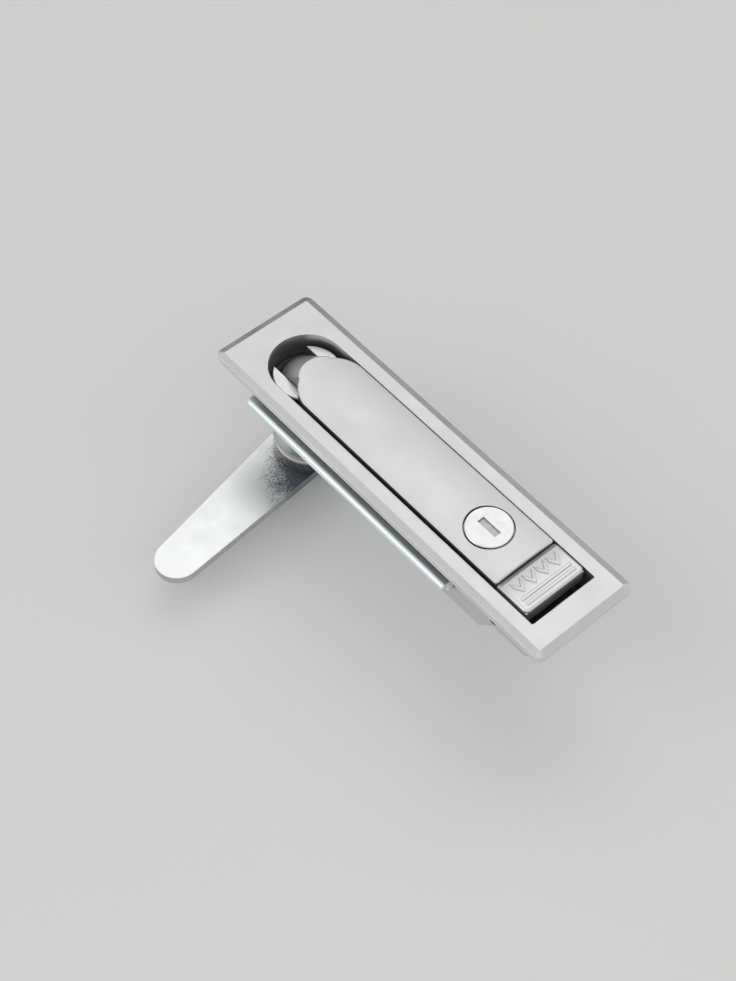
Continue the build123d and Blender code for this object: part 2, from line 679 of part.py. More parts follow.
def button_spring():
    """Compression spring that returns the button."""
    turns = 5.0
    bottom = NEAR_FLOOR + SPRING_WIRE_R
    height = PAD_BACK - SPRING_WIRE_R - bottom
    return Pos(0, SPRING_Y, bottom) * coil(SPRING_WIRE_R, SPRING_MEAN_R, turns, height / turns)


def hinge_spring():
    """Torsion spring on the hinge pin that lifts the handle when the button frees it."""
    wire = 0.4
    turns = 4
    pitch = 1.0
    body = coil(wire, HINGE_PIN_R + 0.75, turns, pitch)
    return Pos(-turns * pitch / 2, PIVOT_Y, HINGE_Z) * Rot(0, 90, 0) * body


# --- clamping bracket -------------------------------------------------------------------


def bracket():
    """Bent steel channel: brims behind the door sheet, walls beside the body, screwed web."""
    brim_top = -GRIP
    inner = BRACKET_INNER
    outer = inner + SHEET
    points = [
        (BRACKET_HALF, brim_top),
        (inner, brim_top),
        (inner, TRAY_BACK),
        (-inner, TRAY_BACK),
        (-inner, brim_top),
        (-BRACKET_HALF, brim_top),
        (-BRACKET_HALF, brim_top - SHEET),
        (-outer, brim_top - SHEET),
        (-outer, TRAY_BACK - SHEET),
        (outer, TRAY_BACK - SHEET),
        (outer, brim_top - SHEET),
        (BRACKET_HALF, brim_top - SHEET),
    ]
    section = Plane.XZ.offset(-BRACKET_FAR) * make_face(Polyline(*points, close=True))
    solid = extrude(section, BRACKET_FAR - BRACKET_NEAR)
    along = solid.edges().filter_by(Axis.Y)
    inside = [e for e in along if abs(abs(e.center().X) - inner) < 0.01]
    sharp = [e for e in inside if abs(e.center().Z - brim_top) < 0.01]
    sharp += [e for e in along if abs(abs(e.center().X) - outer) < 0.01 and e.center().Z < TRAY_BACK]
    solid = fillet(sharp, SHEET)
    snug = [e for e in solid.edges().filter_by(Axis.Y) if abs(abs(e.center().X) - outer) < 0.01]
    snug = [e for e in snug if abs(e.center().Z - (brim_top - SHEET)) < 0.01]
    solid = fillet(snug, 0.6)
    for y0, y1 in ((BRACKET_NEAR - 1, WEB_FROM), (WEB_TO, BRACKET_FAR + 1)):
        solid -= block(-outer - 1, outer + 1, y0, y1, TRAY_BACK - SHEET - 1, TRAY_BACK + 0.2)
    for y in SCREW_YS:
        solid -= disc(SCREW_R + 0.3, TRAY_BACK - SHEET, TRAY_BACK, 0, y)
    brim_corners = [
        e for e in solid.edges().filter_by(Axis.Z) if abs(abs(e.center().X) - BRACKET_HALF) < 0.01
    ]
    far = [e for e in brim_corners if e.center().Y > 0]
    solid = fillet(far, BRIM_CORNER)
    rim = solid.edges().filter_by(Axis.Y).group_by(Axis.X)
    return fillet([rim[0].sort_by(Axis.Z)[-1], rim[-1].sort_by(Axis.Z)[-1]], BRIM_ROUND)


def bracket_washers():
    """Spring washers under the bracket screws' heads."""
    top = TRAY_BACK - SHEET
    rings = [Pos(0, y, 0) * split_ring(4.1, SCREW_R + 0.1, top - WASHER_THICK, top) for y in SCREW_YS]
    return Compound(children=rings)


def bracket_screws():
    """Two pan-head screws into the tray's bosses."""
    top = TRAY_BACK - SHEET - WASHER_THICK
    screws = []
    for y in SCREW_YS:
        head = fillet(disc(SCREW_HEAD_R, top - SCREW_HEAD_THICK, top).edges().group_by(Axis.Z)[0], 1.0)
        cross = block(-2.2, 2.2, -0.4, 0.4, top - SCREW_HEAD_THICK, top - SCREW_HEAD_THICK + 1.6)
        head -= cross + Rot(0, 0, 90) * cross
        screws.append(Pos(0, y, 0) * (head + disc(SCREW_R, top, BOSS_TOP - 1.2)))
    return Compound(children=screws)


PIECES = {
    "housing": housing,
    "handle": handle,
    "rotor_head": rotor_head,
    "hinge_pin": hinge_pin,
    "hinge_spring": hinge_spring,
    "spindle": spindle,
    "spindle_seal": seal_ring,
    "neck_ring": neck_ring,
    "cam_arm": cam_arm,
    "cam_washer": plain_washer,
    "cam_spring_washer": spring_washer,
    "cam_nut": cam_nut,
    "lock_barrel": lock_barrel,
    "barrel_clip": barrel_clip,
    "key_plug": plug,
    "dust_shutter": dust_shutter,
    "key_wafers": wafers,
    "tail_cam": tail_cam,
    "tail_screw": tail_screw,
    "push_button": push_button,
    "button_pin": button_pin,
    "button_spring": button_spring,
    "clamp_bracket": bracket,
    "bracket_washers": bracket_washers,
    "bracket_screws": bracket_screws,
}

for name, make in PIECES.items():
    export_step(make(), f"parts/{name}.step")
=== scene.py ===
import json
import math

import bmesh
import bpy
from mathutils import Matrix, Vector


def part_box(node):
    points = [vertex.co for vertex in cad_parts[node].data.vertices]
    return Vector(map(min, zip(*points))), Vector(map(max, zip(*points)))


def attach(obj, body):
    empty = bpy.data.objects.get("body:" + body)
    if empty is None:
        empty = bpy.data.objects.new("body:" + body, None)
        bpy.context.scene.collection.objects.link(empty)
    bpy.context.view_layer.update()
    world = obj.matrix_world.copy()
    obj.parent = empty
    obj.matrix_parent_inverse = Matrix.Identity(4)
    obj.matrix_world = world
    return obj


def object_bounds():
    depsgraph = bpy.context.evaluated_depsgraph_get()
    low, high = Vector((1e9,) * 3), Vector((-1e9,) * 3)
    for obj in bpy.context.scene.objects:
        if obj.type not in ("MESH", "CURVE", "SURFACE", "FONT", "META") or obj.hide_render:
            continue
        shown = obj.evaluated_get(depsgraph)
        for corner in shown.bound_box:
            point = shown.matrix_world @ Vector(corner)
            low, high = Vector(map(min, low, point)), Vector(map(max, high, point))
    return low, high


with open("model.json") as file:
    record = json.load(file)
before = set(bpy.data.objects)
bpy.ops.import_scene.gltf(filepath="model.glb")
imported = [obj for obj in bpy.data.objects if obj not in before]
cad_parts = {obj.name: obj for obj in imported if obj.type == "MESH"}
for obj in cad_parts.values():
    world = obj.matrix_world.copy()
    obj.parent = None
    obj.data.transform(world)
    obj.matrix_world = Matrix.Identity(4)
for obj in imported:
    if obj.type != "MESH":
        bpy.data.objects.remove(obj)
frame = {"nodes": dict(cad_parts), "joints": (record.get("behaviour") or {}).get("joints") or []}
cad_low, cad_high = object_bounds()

# Looks for the swing handle lock. Metres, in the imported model's frame: +Z out of the front face,
# +Y towards the handle's hinge end.

MM = 0.001
NODES = frame["nodes"]
JOINT_AT = {joint["name"]: Vector(joint["pos_m"]) for joint in frame["joints"]}


# --- camera, floor and light ------------------------------------------------------------

CAMERA_AZIMUTH = math.radians(-41.12)
CAMERA_ELEVATION = math.radians(54.27)
CAMERA_ROLL = math.radians(0.51)
CAMERA_DISTANCE = 549.5 * MM
CAMERA_LENS = 66.6
CAMERA_SENSOR = 36.0
CAMERA_CLIP = (10 * MM, 20.0)
LOOK_AT = Vector((-17.6, 1.6, 3.2)) * MM


def make_camera():
    """Camera above the button end and to the left, as a customer looks down on the lock."""
    data = bpy.data.cameras.new("camera")
    data.lens = CAMERA_LENS
    data.sensor_width = CAMERA_SENSOR
    data.sensor_fit = "AUTO"
    data.clip_start, data.clip_end = CAMERA_CLIP
    camera = bpy.data.objects.new("camera", data)
    bpy.context.scene.collection.objects.link(camera)
    level = math.cos(CAMERA_ELEVATION)
    back = Vector((
        math.sin(CAMERA_AZIMUTH) * level,
        -math.cos(CAMERA_AZIMUTH) * level,
        math.sin(CAMERA_ELEVATION),
    ))
    camera.location = LOOK_AT + back * CAMERA_DISTANCE
    turn = (-back).to_track_quat("-Z", "Y").to_matrix() @ Matrix.Rotation(CAMERA_ROLL, 3, "Z")
    camera.rotation_euler = turn.to_euler()
    bpy.context.scene.camera = camera


RAMP = ("From Min", "From Max", "To Min", "To Max")
SKY_BASE = 0.64
SKY_PATCHES = (
    # direction, cosine where it starts, cosine where it is full, light added
    ((0.440, 0.360, 0.820), 0.80, 0.965, 0.65),     # soft box over the far right corner
    ((0.650, 0.715, 0.260), 0.77, 0.940, -0.68),    # dark wall behind it
    ((-0.750, 0.400, 0.530), 0.83, 0.970, 0.80),    # fill from the arm's side
    ((0.300, -0.800, 0.450), 0.75, 0.970, 0.16),    # weak fill from the near end
    ((-0.250, 0.400, 0.880), 0.86, 0.980, -0.24),   # shade that models the left bevel
    ((0.400, -0.300, 0.870), 0.86, 0.980, -0.26),   # shade that models the near bevel
)
KEY_PLACE = (-0.40, -0.40, 0.95)
KEY_SIZE = 0.60
KEY_WATTS = 0.9
FLOOR_HALF = 3.0


def make_world():
    """Studio sky: an even dome with brighter and darker patches."""
    world = bpy.data.worlds.new("studio")
    world.use_nodes = True
    bpy.context.scene.world = world
    tree = world.node_tree
    background = tree.nodes["Background"]
    place = tree.nodes.new("ShaderNodeTexCoord").outputs["Generated"]
    total = None
    for direction, start, full, light in SKY_PATCHES:
        dot = tree.nodes.new("ShaderNodeVectorMath")
        dot.operation = "DOT_PRODUCT"
        dot.inputs[1].default_value = Vector(direction).normalized()
        tree.links.new(place, dot.inputs[0])
        patch = tree.nodes.new("ShaderNodeMapRange")
        patch.interpolation_type = "SMOOTHSTEP"
        tree.links.new(dot.outputs["Value"], patch.inputs["Value"])
        for socket, number in zip(RAMP, (start, full, 0.0, light)):
            patch.inputs[socket].default_value = number
        add = tree.nodes.new("ShaderNodeMath")
        tree.links.new(patch.outputs[0], add.inputs[0])
        if total is None:
            add.inputs[1].default_value = SKY_BASE
        else:
            tree.links.new(total, add.inputs[1])
        total = add.outputs[0]
    tree.links.new(total, background.inputs["Color"])
    background.inputs["Strength"].default_value = 1.0


def make_key_lamp():
    """Square soft lamp aimed at the lock from the camera's side."""
    data = bpy.data.lights.new("key", "AREA")
    data.shape = "SQUARE"
    data.size = KEY_SIZE
    data.energy = KEY_WATTS
    lamp = bpy.data.objects.new("key", data)
    bpy.context.scene.collection.objects.link(lamp)
    lamp.location = KEY_PLACE
    lamp.rotation_euler = (-Vector(KEY_PLACE)).to_track_quat("-Z", "Y").to_euler()


def make_floor():
    """Pale floor at the lock's lowest point."""
    signs = ((-1, -1), (1, -1), (1, 1), (-1, 1))
    mesh = bpy.data.meshes.new("floor")
    mesh.from_pydata([(x * FLOOR_HALF, y * FLOOR_HALF, cad_low.z) for x, y in signs], [], [(0, 1, 2, 3)])
    floor = bpy.data.objects.new("floor", mesh)
    bpy.context.scene.collection.objects.link(floor)
    look = Look("floor_paper", (0.80, 0.80, 0.79), metallic=0.0, roughness=0.75)
    look.tint(look.noise(90.0, detail=3), (0.79, 0.79, 0.78), (0.81, 0.81, 0.805))
    look.relief((look.noise(0.6, detail=3), 0.02))
    mesh.materials.append(look.mat)


# --- material kit -----------------------------------------------------------------------

WAVES_PER_UNIT = 6.3                            # rings that a wave texture makes at scale 1
RING_WOBBLE = 0.4
RING_DETAIL = 40.0
MIX_FIRST, MIX_SECOND, MIX_RESULT = 6, 7, 2     # the mix node's colour sockets
BEVEL_SAMPLES = 4
HOLLOW_SAMPLES = 6
EDGE_FLAT, EDGE_SHARP = 0.985, 0.86             # cosines between the rounded and the true normal


class Look:
    """One procedural material: a Principled shader and short calls for the nodes that feed it.

    Sizes are in millimetres; the textures use object coordinates, which are the lock's own frame.
    """

    def __init__(self, name, color, metallic, roughness, **fixed):
        self.mat = bpy.data.materials.new(name)
        self.mat.use_nodes = True
        self.tree = self.mat.node_tree
        self.shader = self.tree.nodes["Principled BSDF"]
        self.color = color
        self.set("Base Color", color)
        self.set("Metallic", metallic)
        self.set("Roughness", roughness)
        for socket, value in fixed.items():
            self.set(socket.replace("_", " "), value)
        self.place = self.new("ShaderNodeTexCoord").outputs["Object"]

    def set(self, socket, value):
        """Give one of the shader's sockets a number or colour, or link it to an output."""
        self.feed(self.shader.inputs[socket], value)

    def new(self, kind, **settings):
        """New node with its settings."""
        node = self.tree.nodes.new(kind)
        for key, value in settings.items():
            setattr(node, key, value)
        return node

    def link(self, output, socket):
        """Link an output to an input."""
        self.tree.links.new(output, socket)

    def feed(self, socket, value):
        """Put a number, a colour or another node's output into a socket."""
        if isinstance(value, bpy.types.NodeSocket):
            self.link(value, socket)
        elif isinstance(value, tuple) and len(value) == 3 and socket.type == "RGBA":
            socket.default_value = (*value, 1)
        else:
            socket.default_value = value

    def moved(self, shift=(0, 0, 0), stretch=(1, 1, 1), turn=(0, 0, 0)):
        """Object coordinates shifted by metres, turned and stretched."""
        node = self.new("ShaderNodeMapping", vector_type="POINT")
        self.link(self.place, node.inputs["Vector"])
        node.inputs["Location"].default_value = shift
        node.inputs["Rotation"].default_value = turn
        node.inputs["Scale"].default_value = stretch
        return node.outputs[0]

    def noise(self, size, detail=2, rough=0.5, where=None):
        """Soft noise from 0 to 1, with features of about this size in millimetres."""
        node = self.new("ShaderNodeTexNoise")
        self.link(where or self.place, node.inputs["Vector"])
        node.inputs["Scale"].default_value = 1 / (size * MM)
        node.inputs["Detail"].default_value = detail
        node.inputs["Roughness"].default_value = rough
        return node.outputs["Fac"]

    def rings(self, centre, pitch):
        """Concentric turning marks about an upright axis."""
        where = self.moved(shift=(-centre.x, -centre.y, 0), stretch=(1, 1, 0))
        node = self.new("ShaderNodeTexWave", wave_type="RINGS", rings_direction="Z")
        self.link(where, node.inputs["Vector"])
        node.inputs["Scale"].default_value = 1 / (pitch * MM) / WAVES_PER_UNIT
        node.inputs["Distortion"].default_value = RING_WOBBLE
        node.inputs["Detail Scale"].default_value = RING_DETAIL
        return node.outputs["Fac"]

    def reach(self, centre):
        """Distance in millimetres from an upright axis."""
        where = self.moved(shift=(-centre.x / MM, -centre.y / MM, 0), stretch=(1 / MM, 1 / MM, 0))
        node = self.new("ShaderNodeVectorMath", operation="LENGTH")
        self.link(where, node.inputs[0])
        return node.outputs["Value"]

    def along(self, axis):
        """Place along an axis, in millimetres."""
        split = self.new("ShaderNodeSeparateXYZ")
        self.link(self.place, split.inputs[0])
        return self.times(split.outputs[axis], 1 / MM)

    def height(self):
        """Height in millimetres above the door's face."""
        return self.along("Z")

    def steps(self, value, low, high, start=0.0, end=1.0):
        """Straight ramp of a value from low..high to start..end, held at its ends."""
        node = self.new("ShaderNodeMapRange", clamp=True)
        self.link(value, node.inputs["Value"])
        for socket, number in zip(RAMP, (low, high, start, end)):
            node.inputs[socket].default_value = number
        return node.outputs[0]

    def maths(self, operation, first, second=0.0):
        """Sum, product or other arithmetic of two values."""
        node = self.new("ShaderNodeMath", operation=operation)
        self.feed(node.inputs[0], first)
        self.feed(node.inputs[1], second)
        return node.outputs[0]

    def times(self, first, second):
        """Product of two values."""
        return self.maths("MULTIPLY", first, second)

    def tint(self, share, first, second):
        """Base colour that wanders between two colours."""
        node = self.new("ShaderNodeMix", data_type="RGBA", blend_type="MIX")
        self.feed(node.inputs["Factor"], share)
        self.feed(node.inputs[MIX_FIRST], first)
        self.feed(node.inputs[MIX_SECOND], second)
        self.color = node.outputs[MIX_RESULT]
        self.set("Base Color", self.color)

    def over(self, share, color, strength=None):
        """Another colour over the base colour, by a share and an optional strength."""
        if strength is not None:
            share = self.times(share, strength)
        self.tint(share, self.color, color)

    def wander(self, cloud, low, high):
        """Value that follows a noise from low to high over the noise's middle range."""
        return self.steps(cloud, 0.3, 0.7, low, high)

    def relief(self, *layers, rounding=0.0):
        """Bump from (height, depth in millimetres) layers, over edges rounded by a radius."""
        normal = None
        if rounding:
            soft = self.new("ShaderNodeBevel", samples=BEVEL_SAMPLES)
            soft.inputs["Radius"].default_value = rounding * MM
            normal = soft.outputs[0]
        for height, depth in layers:
            node = self.new("ShaderNodeBump")
            node.inputs["Strength"].default_value = 1.0
            node.inputs["Distance"].default_value = depth * MM
            self.link(height, node.inputs["Height"])
            if normal is not None:
                self.link(normal, node.inputs["Normal"])
            normal = node.outputs[0]
        self.set("Normal", normal)

    def edges(self, radius):
        """Mask that is 1 on sharp outer edges and 0 on flats."""
        bevel = self.new("ShaderNodeBevel", samples=BEVEL_SAMPLES)
        bevel.inputs["Radius"].default_value = radius * MM
        flat = self.new("ShaderNodeNewGeometry").outputs["Normal"]
        node = self.new("ShaderNodeVectorMath", operation="DOT_PRODUCT")
        self.link(bevel.outputs[0], node.inputs[0])
        self.link(flat, node.inputs[1])
        return self.steps(node.outputs["Value"], EDGE_FLAT, EDGE_SHARP)

    def hollows(self, distance, wide=0.85, shut=0.25):
        """Mask that is 1 deep in corners and gaps and 0 in the open."""
        node = self.new("ShaderNodeAmbientOcclusion", samples=HOLLOW_SAMPLES)
        node.inputs["Distance"].default_value = distance * MM
        return self.steps(node.outputs["AO"], wide, shut)

    def facing(self, axis):
        """How much the surface faces along an axis, from -1 to 1."""
        split = self.new("ShaderNodeSeparateXYZ")
        node = self.new("ShaderNodeNewGeometry")
        self.link(node.outputs["Normal"], split.inputs[0])
        return split.outputs[axis]


# --- materials: sizes and distances in millimetres --------------------------------------


def scaled(color, share):
    """A colour made darker or lighter, at most white."""
    return tuple(min(1.0, part * share) for part in color)


ENAMEL_ROUGHNESS = 0.38
ENAMEL_METALLIC = 0.80
# Pale colour of edges rubbed bright, which also serves as a painted highlight along them.
RUBBED_AND_HIGHLIT = (0.92, 0.92, 0.91)
# Painted shade inside the pin hole.
HOLE_SHADE = (0.02, 0.02, 0.02)
# Heights on the housing where each change begins and where it is full; above the lip the dust and painted
# shade in hollows fade out.
LIP_LESS_DUST_AND_SHADE = (0.6, 2.4)
LIP_LIT = (0.6, 2.6)
RECESS_FLOOR = (0.0, -0.5)
BODY_SIDE = (0.3, -0.3)
NECK_SIDE = (-14.0, -20.0)
PIN_HOLE = (-1.0, -2.0)


def recess_shade(look, color):
    """Painted shade on the housing: dark floor of the recess, darker body under the flange, dark pin hole;
    the neck turns darker still lower down.
    """
    height = look.height()
    floor = look.times(look.steps(height, *RECESS_FLOOR), look.steps(look.facing("Z"), 0.5, 0.9))
    body = look.steps(height, *BODY_SIDE, 0.0, 0.3)
    neck = look.steps(height, *NECK_SIDE, 0.0, 0.3)
    hole = look.times(look.hollows(1.4, 0.85, 0.5), look.steps(height, *PIN_HOLE))
    look.over(floor, scaled(color, 0.08), 0.8)
    look.over(body, scaled(color, 0.45))
    look.over(neck, scaled(color, 0.4))
    look.over(hole, HOLE_SHADE, 0.9)


def enamel(name, color, dust_and_shade=0.6, deep=0.82, rounding=0.35, recessed=False, shade_span=None):
    """Satin silver-grey lacquer on a zinc casting: fine metallic grain, faint waviness, edges rubbed
    bright with a painted highlight along them, dust and painted shade in hollows.

    The third and fourth arguments are the strengths of the dust and painted shade in narrow hollows
    and of the painted shade in deep hollows; the last is the stretch along Y over which a painted
    shade darkens the lacquer.
    """
    look = Look(name, color, ENAMEL_METALLIC, ENAMEL_ROUGHNESS, Specular_IOR_Level=0.5)
    cloud = look.noise(26.0, detail=3)
    patches = look.noise(9.0, detail=4)
    dust = look.noise(5.0, detail=4)
    scuffs = look.noise(3.0, detail=4)
    ripple = look.noise(2.6, detail=2)
    grain = look.noise(0.16, detail=2, rough=0.7)
    worn_and_highlit = look.times(look.edges(0.30), look.steps(scuffs, 0.30, 0.60, 0.3, 1.0))
    # dust and painted shade in narrow hollows
    dust_and_shade_mask = look.times(look.hollows(3.0), look.steps(dust, 0.2, 0.7, 0.4, 1.0))
    # On the housing the dust and the painted shade in hollows fade out above the recess's lip.
    if recessed:
        dust_and_shade = look.steps(look.height(), *LIP_LESS_DUST_AND_SHADE, dust_and_shade, 0.1)
        deep = look.steps(look.height(), *LIP_LIT, deep, 0.25)
    look.tint(cloud, scaled(color, 0.965), scaled(color, 1.03))
    look.over(look.steps(grain, 0.58, 0.80, 0.0, 0.35), scaled(color, 1.03))
    look.over(look.steps(grain, 0.42, 0.24, 0.0, 0.25), scaled(color, 0.8))
    # edges rubbed bright, with a painted highlight along them
    look.over(worn_and_highlit, RUBBED_AND_HIGHLIT, 0.75)
    look.over(dust_and_shade_mask, scaled(color, 0.35), dust_and_shade)
    # painted shade in deep hollows
    look.over(look.hollows(14.0), scaled(color, 0.17), deep)
    if recessed:
        recess_shade(look, color)
    # painted shade darkening the button's pad along Y
    if shade_span:
        look.over(look.steps(look.along("Y"), *shade_span, 0.0, 0.6), scaled(color, 0.42))
    satin = look.wander(patches, ENAMEL_ROUGHNESS - 0.035, ENAMEL_ROUGHNESS + 0.04)
    look.set("Roughness", look.maths("SUBTRACT", satin, look.times(worn_and_highlit, 0.10)))
    look.relief((ripple, 0.012), (grain, 0.0035), rounding=rounding)
    return look.mat


TURNING_PITCH = 0.12
FACE_DEPTH = (0.5, 1.5)             # depths under the top face where the painted shade begins and is full
HAIR_ANGLE = 0.7
CHROME_HOLLOW_SHADE = (0.16, 0.16, 0.16)
CHROME_SHADE = (0.08, 0.08, 0.08)


def satin_chrome(name, color, node, roughness):
    """Satin-plated turned metal: marks round the node's middle, hairline scratches, painted shade in
    hollows and, lower down, in deep hollows.
    """
    low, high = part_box(node)
    top = high.z / MM
    look = Look(name, color, 1.0, roughness)
    cloud = look.noise(6.0, detail=3)
    patches = look.noise(2.5, detail=4)
    grain = look.noise(0.3, detail=3)
    marks = look.rings((low + high) / 2, TURNING_PITCH)
    hair = look.noise(0.35, detail=3, where=look.moved(stretch=(1, 0.03, 1), turn=(0, 0, HAIR_ANGLE)))
    scratch = look.steps(hair, 0.66, 0.72)
    below = look.steps(look.height(), top - FACE_DEPTH[0], top - FACE_DEPTH[1], 0.0, 0.7)
    look.tint(cloud, scaled(color, 0.96), color)
    look.over(scratch, scaled(color, 0.75), 0.25)
    # painted shade in narrow hollows
    look.over(look.hollows(1.2), CHROME_HOLLOW_SHADE, 0.3)
    # painted shade in deep hollows below the top face
    look.over(look.hollows(9.0), CHROME_SHADE, below)
    look.set("Roughness", look.wander(patches, roughness - 0.04, roughness + 0.06))
    look.relief((marks, 0.0010), (scratch, 0.002), (grain, 0.0015))
    return look.mat


# Painted dark reflection of the lock's underside on the arm, round the spindle.
DARK_REFLECTION_COLOR = (0.08, 0.087, 0.118)
DARK_REFLECTION_EDGE = (27.5, 14.5)           # distances from its middle where the painted dark reflection begins and is full
DARK_REFLECTION_WANDER = 1.5
DARK_REFLECTION_GRAIN = 0.42
ZINC_EDGE_HIGHLIGHT = (0.92, 0.93, 0.94)


def painted_dark_reflection(look, centre):
    """Painted dark reflection round an upright axis that breaks up into grains at its edge."""
    grains = look.noise(DARK_REFLECTION_GRAIN, detail=2, rough=0.8)
    shift = look.wander(look.noise(6.0, detail=3), -DARK_REFLECTION_WANDER, DARK_REFLECTION_WANDER)
    near = look.steps(look.maths("ADD", look.reach(centre), shift), *DARK_REFLECTION_EDGE, -0.30, 1.35)
    mottled = look.maths("ADD", near, look.steps(grains, 0.36, 0.64, 0.50, -0.50))
    look.over(look.steps(mottled, 0.15, 1.05, 0.0, 0.95), DARK_REFLECTION_COLOR)


def zinc_plate(name, color, roughness=0.30, speckle=1.0, sheared=0.2, dark_reflection_at=None):
    """Bright zinc plating on steel: pitted grain, duller sheared sides, painted highlights on edges,
    painted shade in hollows, and a painted dark reflection round an axis where one is given.
    """
    look = Look(name, color, 1.0, roughness)
    cloud = look.noise(7.0, detail=4, rough=0.6)
    ripple = look.noise(1.1, detail=3)
    pits = look.noise(0.30, detail=3, rough=0.7)
    streak = look.noise(0.45, detail=3, where=look.moved(stretch=(1, 1, 0.15)))
    side = look.steps(look.maths("ABSOLUTE", look.facing("Z")), 0.6, 0.2)
    look.tint(cloud, scaled(color, 0.96), scaled(color, 1.02))
    look.over(look.steps(pits, 0.42, 0.25, 0.0, 0.2), scaled(color, 0.7))
    if dark_reflection_at:
        painted_dark_reflection(look, dark_reflection_at)
    look.over(side, scaled(color, 0.34), look.wander(streak, sheared - 0.10, sheared + 0.10))
    # painted highlight on edges
    look.over(look.edges(0.25), ZINC_EDGE_HIGHLIGHT, 0.4)
    # painted shade in hollows
    look.over(look.hollows(2.0), scaled(color, 0.4), 0.45)
    look.set("Roughness", look.wander(cloud, roughness - 0.04, roughness + 0.06))
    look.relief((pits, 0.006 * speckle), (ripple, 0.008 * speckle), rounding=0.3)
    return look.mat


SHEET_ROUGHNESS = 0.36
SHEET_METALLIC = 0.85
SHEET_BLOOM = (0.78, 0.84, 0.82)
SHEET_SHADE = (0.06, 0.10, 0.09)


def plated_sheet(name, color):
    """Blue-white passivated sheet steel: smooth, faintly streaked along the rolling direction."""
    look = Look(name, color, SHEET_METALLIC, SHEET_ROUGHNESS)
    bloom = look.noise(14.0, detail=3)
    ripple = look.noise(2.0, detail=2)
    rolled = look.noise(1.2, detail=4, where=look.moved(stretch=(1, 0.06, 1)))
    pits = look.noise(0.3, detail=2)
    look.tint(rolled, scaled(color, 0.95), scaled(color, 1.02))
    look.over(look.steps(bloom, 0.55, 0.75, 0.0, 0.3), SHEET_BLOOM)
    look.over(look.steps(pits, 0.36, 0.22, 0.0, 0.3), scaled(color, 0.7))
    look.over(look.hollows(4.0, 0.45, 0.22), SHEET_SHADE, 0.7)
    look.set("Roughness", look.wander(rolled, SHEET_ROUGHNESS - 0.05, SHEET_ROUGHNESS + 0.05))
    look.relief((rolled, 0.003), (ripple, 0.006), rounding=0.4)
    return look.mat


def bare_metal(name, color, roughness=0.35, metallic=1.0):
    """Machined metal with fine turning lines, painted shade in corners and painted highlights on edges."""
    look = Look(name, color, metallic, roughness)
    cloud = look.noise(4.0, detail=4)
    patches = look.noise(1.5, detail=4)
    ripple = look.noise(0.8, detail=3)
    lines = look.noise(0.25, detail=3, where=look.moved(stretch=(0.15, 0.15, 1)))
    look.tint(cloud, scaled(color, 0.88), color)
    # painted shade in corners
    look.over(look.hollows(1.5), scaled(color, 0.35), 0.5)
    # painted highlight on edges
    look.over(look.edges(0.15), scaled(color, 1.25), 0.4)
    look.set("Roughness", look.wander(patches, roughness - 0.06, roughness + 0.08))
    look.relief((lines, 0.004), (ripple, 0.006))
    return look.mat


RUBBER_COLOR = (0.025, 0.025, 0.026)
RUBBER_DRY = (0.018, 0.018, 0.019)
RUBBER_GREASED = (0.045, 0.045, 0.045)
RUBBER_ROUGHNESS = 0.62


def rubber(name):
    """Matt black moulded rubber with a trace of grease."""
    look = Look(name, RUBBER_COLOR, 0.0, RUBBER_ROUGHNESS, Specular_IOR_Level=0.4)
    grease = look.noise(1.5, detail=3)
    patches = look.noise(2.0, detail=3)
    grain = look.noise(0.2, detail=3)
    look.tint(grease, RUBBER_DRY, RUBBER_GREASED)
    look.set("Roughness", look.steps(patches, 0.35, 0.65, RUBBER_ROUGHNESS - 0.17, RUBBER_ROUGHNESS + 0.10))
    look.relief((grain, 0.01))
    return look.mat


# --- which node wears what --------------------------------------------------------------


def dress(names, mat):
    """Give CAD nodes a material in every slot they have."""
    for name in names:
        for slot in NODES[name].material_slots:
            slot.material = mat


GREY = (0.74, 0.742, 0.735)
DARK_REFLECTION_SHIFT = Vector((-3.0, -17.0, 0.0)) * MM    # from the spindle's axis to the middle of the painted dark reflection
BUTTON_SHADE_SPAN = (4.5, 12.5)          # painted shade along the button's pad, from its outer end towards the handle
FASTENERS = (
    "cam_washer", "cam_spring_washer", "cam_nut",
    "tail_cam", "tail_screw",
    "bracket_screws", "bracket_washers",
)


def dress_lacquered():
    """Housing, handle and button."""
    pad_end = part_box("push_button")[0].y / MM
    shade_span = [pad_end + reach for reach in BUTTON_SHADE_SPAN]
    dress(["housing"], enamel("housing_enamel", scaled(GREY, 1.025), recessed=True))
    dress(["handle"], enamel("handle_lacquer", GREY))
    button = enamel("button_lacquer", scaled(GREY, 1.12), dust_and_shade=0.1, deep=0.25, rounding=0.2, shade_span=shade_span)
    dress(["push_button"], button)


def dress_plated():
    """Rotor head, key cylinder's face, arm, bracket and fasteners."""
    dark_reflection_at = JOINT_AT["spindle_turn"] + DARK_REFLECTION_SHIFT
    dress(["rotor_head"], satin_chrome("rotor_satin", (0.80, 0.80, 0.79), "rotor_head", roughness=0.34))
    dress(["key_plug"], satin_chrome("cylinder_face", (0.77, 0.77, 0.765), "key_plug", roughness=0.24))
    dress(["cam_arm"], zinc_plate("arm_zinc", (0.93, 0.945, 0.945), 0.35, sheared=0.62, dark_reflection_at=dark_reflection_at))
    dress(["clamp_bracket"], plated_sheet("bracket_zinc", (0.87, 0.95, 0.955)))
    dress(FASTENERS, zinc_plate("fastener_zinc", (0.74, 0.76, 0.78), speckle=0.6))


